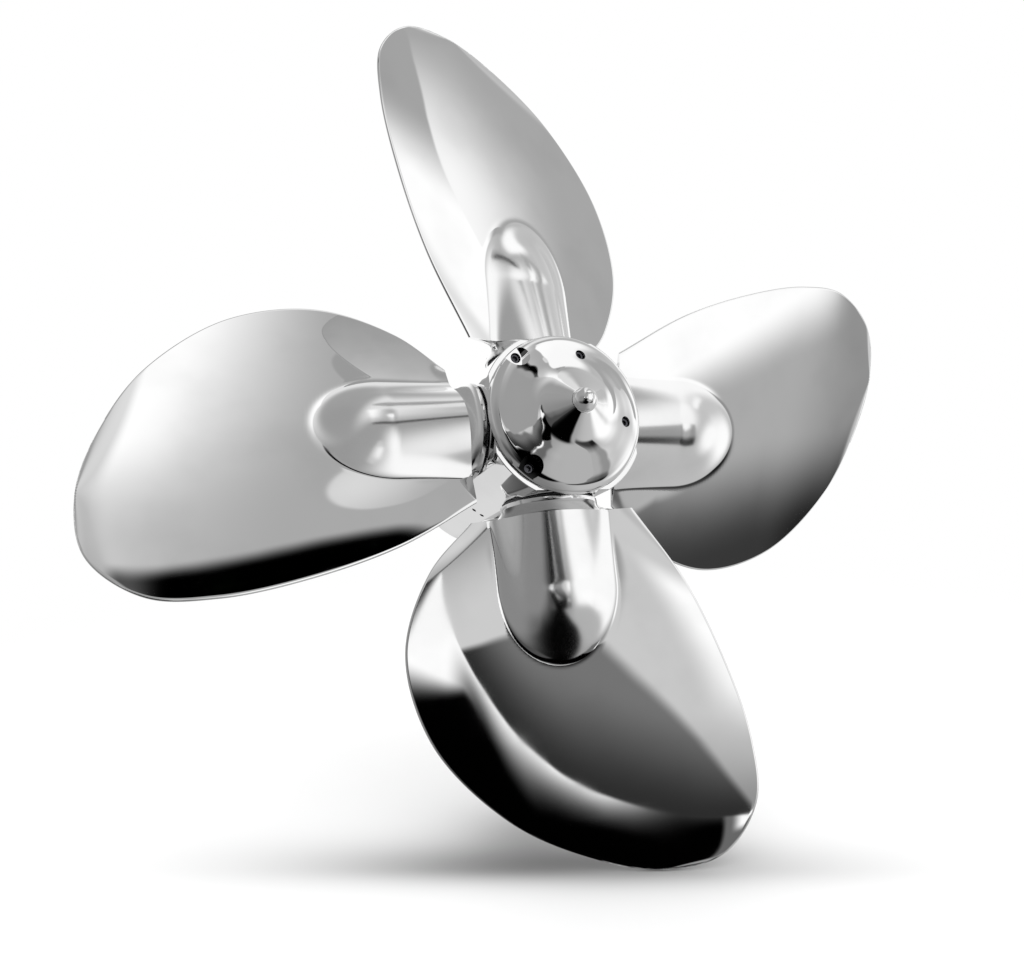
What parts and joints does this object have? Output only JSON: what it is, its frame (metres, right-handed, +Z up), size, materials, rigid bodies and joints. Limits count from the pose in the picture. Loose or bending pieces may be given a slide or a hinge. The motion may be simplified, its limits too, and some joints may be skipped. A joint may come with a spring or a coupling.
{
  "type": "feathering ship propeller",
  "caption": "Polished metal ship propeller whose wide rounded blades turn together in a round hub, from ahead pitch through feather to astern, for a keyed tapered shaft.",
  "frame": {"origin": "centre of the shaft bore's mouth, in the plane of the hub's fore face", "axes": "+Y along the shaft axis towards the ship, the cap points to -Y; +Z up along the top blade's spindle, +X along the right blade's spindle"},
  "size_m": [0.599, 0.2088, 0.599],
  "materials": {
    "polished_metal": "mirror polished",
    "turned_metal": "fine turned",
    "screw_metal": "satin",
    "bronze": "machined bronze",
    "rubber": "matt black"
  },
  "bodies": {
    "hub": {"hub_body": "polished_metal", "aft_cap": "polished_metal", "nose_nut": "polished_metal", "root_seal_top": "rubber", "root_seal_right": "rubber", "root_seal_bottom": "rubber", "root_seal_left": "rubber", "shaft_boss": "bronze", "boss_seal": "rubber", "fore_cover": "turned_metal", "cap_screw_1": "screw_metal", "cap_screw_2": "screw_metal", "pitch_screw_ahead": "screw_metal", "pitch_screw_astern": "screw_metal", "grub_screw_1": "screw_metal", "grub_screw_2": "screw_metal", "cover_screw_1": "screw_metal", "cover_screw_2": "screw_metal", "cover_screw_3": "screw_metal", "cover_screw_4": "screw_metal", "cover_screw_5": "screw_metal", "cover_screw_6": "screw_metal"},
    "blade_top": {"blade_top": "polished_metal"},
    "blade_right": {"blade_right": "polished_metal"},
    "blade_bottom": {"blade_bottom": "polished_metal"},
    "blade_left": {"blade_left": "polished_metal"}
  },
  "joints": [
    {"name": "blade_top_pitch", "type": "hinge", "parent": "hub", "child": "blade_top", "pos_m": [0, -0.128, 0], "axis": [0, 0, 1], "range_deg": [0, 139]},
    {"name": "blade_right_pitch", "type": "hinge", "parent": "hub", "child": "blade_right", "pos_m": [0, -0.128, 0], "axis": [1, 0, 0], "range_deg": [0, 139]},
    {"name": "blade_bottom_pitch", "type": "hinge", "parent": "hub", "child": "blade_bottom", "pos_m": [0, -0.128, 0], "axis": [0, 0, -1], "range_deg": [0, 139]},
    {"name": "blade_left_pitch", "type": "hinge", "parent": "hub", "child": "blade_left", "pos_m": [0, -0.128, 0], "axis": [-1, 0, 0], "range_deg": [0, 139]}
  ],
  "couplings": [
    {"joint": "blade_right_pitch", "follows": "blade_top_pitch", "ratio": 1},
    {"joint": "blade_bottom_pitch", "follows": "blade_top_pitch", "ratio": 1},
    {"joint": "blade_left_pitch", "follows": "blade_top_pitch", "ratio": 1}
  ]
}
